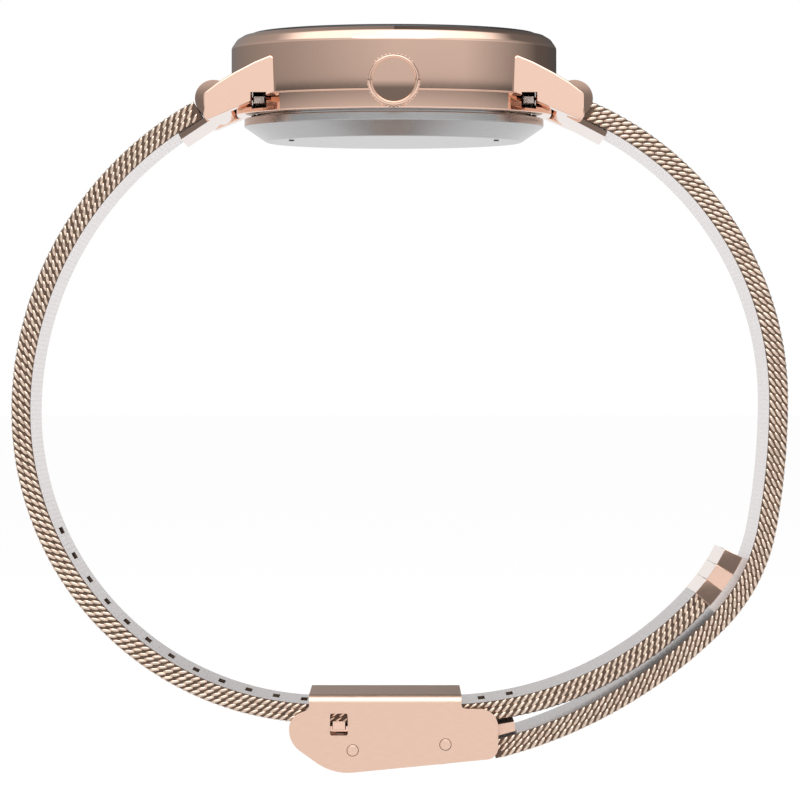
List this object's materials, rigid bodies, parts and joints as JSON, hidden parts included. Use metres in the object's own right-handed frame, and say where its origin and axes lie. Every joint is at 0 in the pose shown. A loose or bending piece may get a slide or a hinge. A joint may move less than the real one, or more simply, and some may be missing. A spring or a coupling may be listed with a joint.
{
  "type": "smartwatch",
  "caption": "Round smartwatch with a side crown, dark display under flat glass, and a woven metal band closed by a sliding clasp with a lock lever.",
  "frame": {"origin": "middle of the case back's flat wrist face", "axes": "+Z out through the cover glass, crown to -Y, short band leaves towards +X and long band towards -X"},
  "size_m": [0.0853, 0.0397, 0.0816],
  "materials": {
    "polished_rose": "polished rose-gold plated steel",
    "satin_rose": "satin rose-gold plated steel",
    "woven_rose": "woven rose-gold plated steel wire",
    "steel": "brushed steel",
    "cover_glass": "polished dark glass",
    "display": "dark display panel",
    "black_plastic": "moulded black plastic",
    "seal": "soft black seal",
    "frame_plastic": "pale moulded plastic",
    "board": "green circuit board",
    "foil": "foil wrap"
  },
  "bodies": {
    "case": {"case_middle": "polished_rose", "caseback": "steel", "cover_glass": "cover_glass", "glass_seal": "seal", "display_panel": "display", "inner_frame": "frame_plastic", "battery": "foil", "haptic_motor": "foil", "main_board": "board", "crown_tube": "steel", "crown_switch": "black_plastic", "spring_bar_long": "steel", "spring_bar_short": "steel"},
    "crown_slide": {"switch_plunger": "black_plastic"},
    "crown": {"crown": "polished_rose", "crown_stem": "steel"},
    "band_short": {"mesh_band_short": "woven_rose", "end_link_short": "satin_rose", "band_hook": "satin_rose"},
    "band_long": {"mesh_band_long": "woven_rose", "tail_cap": "satin_rose", "end_link_long": "satin_rose"},
    "clasp": {"clasp_bracket": "satin_rose", "catch_pin": "polished_rose", "strap_pin": "polished_rose"},
    "lock_plate": {"lock_plate": "polished_rose"},
    "lever": {"clasp_lever": "satin_rose"}
  },
  "joints": [
    {"name": "crown_press", "type": "slide", "parent": "case", "child": "crown_slide", "axis": [0, 1, 0], "range_m": [0, 0.0005], "stiffness_N_per_m": 300},
    {"name": "crown_turn", "type": "hinge", "parent": "crown_slide", "child": "crown", "pos_m": [0, -0.019, 0.0057], "axis": [0, -1, 0], "continuous": true},
    {"name": "band_long_swing", "type": "hinge", "parent": "case", "child": "band_long", "pos_m": [-0.0198, 0, 0.0044], "axis": [0, 1, 0], "range_deg": [0, 50]},
    {"name": "band_short_swing", "type": "hinge", "parent": "case", "child": "band_short", "pos_m": [0.0198, 0, 0.0044], "axis": [0, -1, 0], "range_deg": [0, 50]},
    {"name": "clasp_slide", "type": "slide", "parent": "band_long", "child": "clasp", "axis": [1, 0, 0], "range_m": [-0.00335, 0]},
    {"name": "lever_swing", "type": "hinge", "parent": "clasp", "child": "lever", "pos_m": [0.00565, 0, -0.06645], "axis": [0, -1, 0], "range_deg": [0, 100]},
    {"name": "lock_slide", "type": "slide", "parent": "clasp", "child": "lock_plate", "axis": [0, 0, -1], "range_m": [0, 0.0002]}
  ],
  "couplings": [
    {"joint": "band_short_swing", "follows": "band_long_swing", "ratio": 1},
    {"joint": "lock_slide", "follows": "lever_swing", "m_per_rad": 0.000114}
  ]
}
